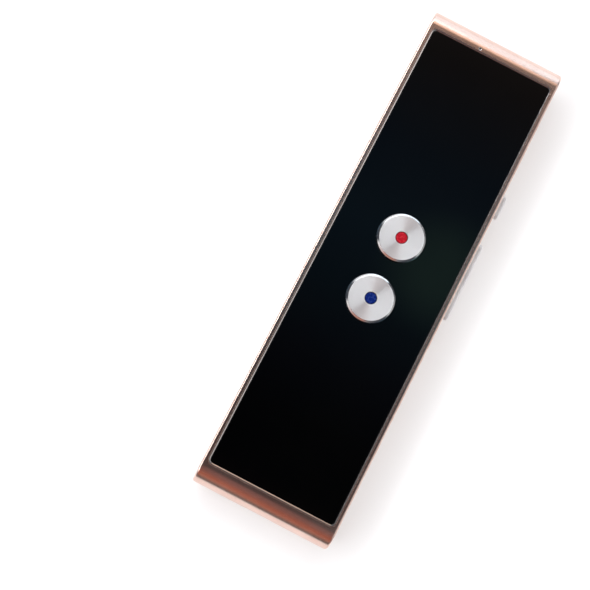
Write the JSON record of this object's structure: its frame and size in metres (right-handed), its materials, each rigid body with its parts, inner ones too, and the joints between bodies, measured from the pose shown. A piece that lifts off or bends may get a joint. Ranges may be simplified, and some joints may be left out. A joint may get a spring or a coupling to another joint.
{
  "type": "handheld translator",
  "caption": "Slim bar-shaped handheld voice translator: metal casing with half-round ends, glossy black front panel, round push buttons, side power key and volume rocker.",
  "frame": {"origin": "centre of the flat back face, on the back cover's outer face", "axes": "+Z from the back to the front panel, +Y towards the top end with the microphone, +X towards the side with the keys"},
  "size_m": [0.0396, 0.14, 0.0113],
  "materials": {
    "casing_metal": "fine blasted, rose-gold anodised",
    "cover_metal": "fine blasted, rose-gold anodised",
    "dark_screw": "dark plated",
    "bezel_metal": "diamond-cut, bright pinkish silver",
    "panel_gloss": "polished acrylic over black print",
    "tape": "matte double-sided tape",
    "chassis_plastic": "moulded, fine texture",
    "circuit_board": "green solder mask",
    "plain_screw": "zinc plated",
    "shield_metal": "tinned sheet",
    "chip_plastic": "moulded epoxy",
    "coil_ferrite": "matte ferrite",
    "antenna_ceramic": "unglazed ceramic",
    "microphone_metal": "gold-plated lid",
    "foam": "closed-cell foam",
    "switch_plastic": "moulded",
    "button_metal": "spun face with a polished chamfer",
    "red_enamel": "gloss red filling",
    "blue_enamel": "gloss blue filling",
    "key_metal": "satin silver",
    "flex_film": "amber film",
    "bracket_steel": "plain sheet",
    "dome_steel": "sprung steel",
    "battery_foil": "satin foil pouch",
    "wire_sleeve": "smooth sleeve",
    "connector_plastic": "moulded nylon",
    "speaker_plastic": "moulded",
    "mesh_steel": "black woven mesh",
    "socket_steel": "nickel plated",
    "socket_plastic": "moulded"
  },
  "bodies": {
    "casing": {"housing": "casing_metal", "back_cover": "cover_metal", "back_cover_screws": "dark_screw", "front_bezel": "bezel_metal", "front_panel": "panel_gloss", "panel_tape": "tape", "chassis": "chassis_plastic", "main_board": "circuit_board", "board_screws": "plain_screw", "shield_can": "shield_metal", "processor": "chip_plastic", "memory_chip": "chip_plastic", "audio_chip": "chip_plastic", "charging_chip": "chip_plastic", "power_coil": "coil_ferrite", "antenna": "antenna_ceramic", "microphone": "microphone_metal", "microphone_gasket": "foam", "front_switch_bases": "switch_plastic", "key_flex": "flex_film", "key_bracket": "bracket_steel", "power_dome": "dome_steel", "volume_domes": "dome_steel", "battery": "battery_foil", "battery_tape": "tape", "battery_wires": "wire_sleeve", "battery_plug": "connector_plastic", "battery_header": "connector_plastic", "speaker": "speaker_plastic", "speaker_gasket": "foam", "speaker_mesh": "mesh_steel", "speaker_wires": "wire_sleeve", "charging_socket_shell": "socket_steel", "charging_socket_tongue": "socket_plastic"},
    "red_button": {"red_button": "button_metal", "red_button_dot": "red_enamel", "red_switch_plunger": "switch_plastic"},
    "blue_button": {"blue_button": "button_metal", "blue_button_dot": "blue_enamel", "blue_switch_plunger": "switch_plastic"},
    "power_key": {"power_key": "key_metal"},
    "volume_key": {"volume_key": "key_metal"}
  },
  "joints": [
    {"name": "red_button_press", "type": "slide", "parent": "casing", "child": "red_button", "axis": [0, 0, -1], "range_m": [0, 0.0003], "stiffness_N_per_m": 3000, "springref_m": -0.0002},
    {"name": "blue_button_press", "type": "slide", "parent": "casing", "child": "blue_button", "axis": [0, 0, -1], "range_m": [0, 0.0003], "stiffness_N_per_m": 3000, "springref_m": -0.0002},
    {"name": "power_key_press", "type": "slide", "parent": "casing", "child": "power_key", "axis": [-1, 0, 0], "range_m": [0, 0.00025], "stiffness_N_per_m": 3000, "springref_m": -0.0002, "deforming": ["power_dome"]},
    {"name": "volume_key_rock", "type": "hinge", "parent": "casing", "child": "volume_key", "pos_m": [0.0159, 0.0074, 0.00525], "axis": [0, 0, 1], "range_deg": [-1.5, 1.5], "stiffness_Nm_per_rad": 0.5, "deforming": ["volume_domes"]}
  ]
}
